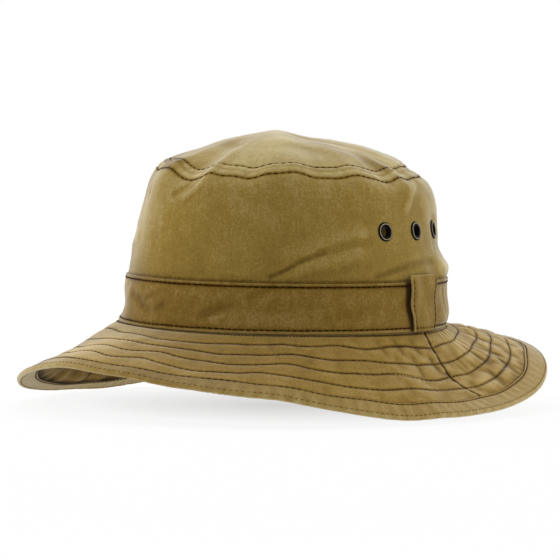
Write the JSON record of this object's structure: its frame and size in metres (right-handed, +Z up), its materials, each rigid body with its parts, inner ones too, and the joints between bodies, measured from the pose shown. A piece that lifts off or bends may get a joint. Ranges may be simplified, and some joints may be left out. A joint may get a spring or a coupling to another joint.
{
  "type": "bucket hat",
  "caption": "Soft cloth bucket hat with a domed crown, an outer band with a side tab, vent eyelets and a stitched, bound brim that dips at the sides.",
  "frame": {"origin": "middle of the hat's plan, on the surface that it stands on", "axes": "+Z up through the crown, the front faces -Y, the wearer's left is +X"},
  "size_m": [0.2816, 0.3206, 0.1558],
  "materials": {
    "canvas": "washed olive-tan cotton canvas",
    "under_canvas": "olive-tan cotton canvas, less faded",
    "binding_canvas": "olive-tan cotton binding tape, faded at its fold",
    "band_canvas": "olive-tan cotton canvas, folded edges",
    "sweatband_cloth": "smooth cotton twill",
    "seam_tape": "woven cotton tape",
    "stiffener": "white non-woven interlining",
    "eyelet_metal": "black enamel, worn bright on the crest"
  },
  "bodies": {
    "root": {"crown_tip": "canvas", "crown_side": "canvas", "tip_seam_tape": "seam_tape", "back_seam_tape": "seam_tape", "sweatband": "sweatband_cloth", "hat_band": "band_canvas", "band_tab": "band_canvas", "brim_top_front": "canvas", "brim_top_rear": "canvas", "brim_under_front": "under_canvas", "brim_under_rear": "under_canvas", "brim_stiffener_front": "stiffener", "brim_stiffener_rear": "stiffener", "brim_binding": "binding_canvas", "eyelet_left_front": "eyelet_metal", "eyelet_left_middle": "eyelet_metal", "eyelet_left_rear": "eyelet_metal", "eyelet_right_front": "eyelet_metal", "eyelet_right_middle": "eyelet_metal", "eyelet_right_rear": "eyelet_metal", "washer_left_front": "eyelet_metal", "washer_left_middle": "eyelet_metal", "washer_left_rear": "eyelet_metal", "washer_right_front": "eyelet_metal", "washer_right_middle": "eyelet_metal", "washer_right_rear": "eyelet_metal"}
  },
  "joints": []
}
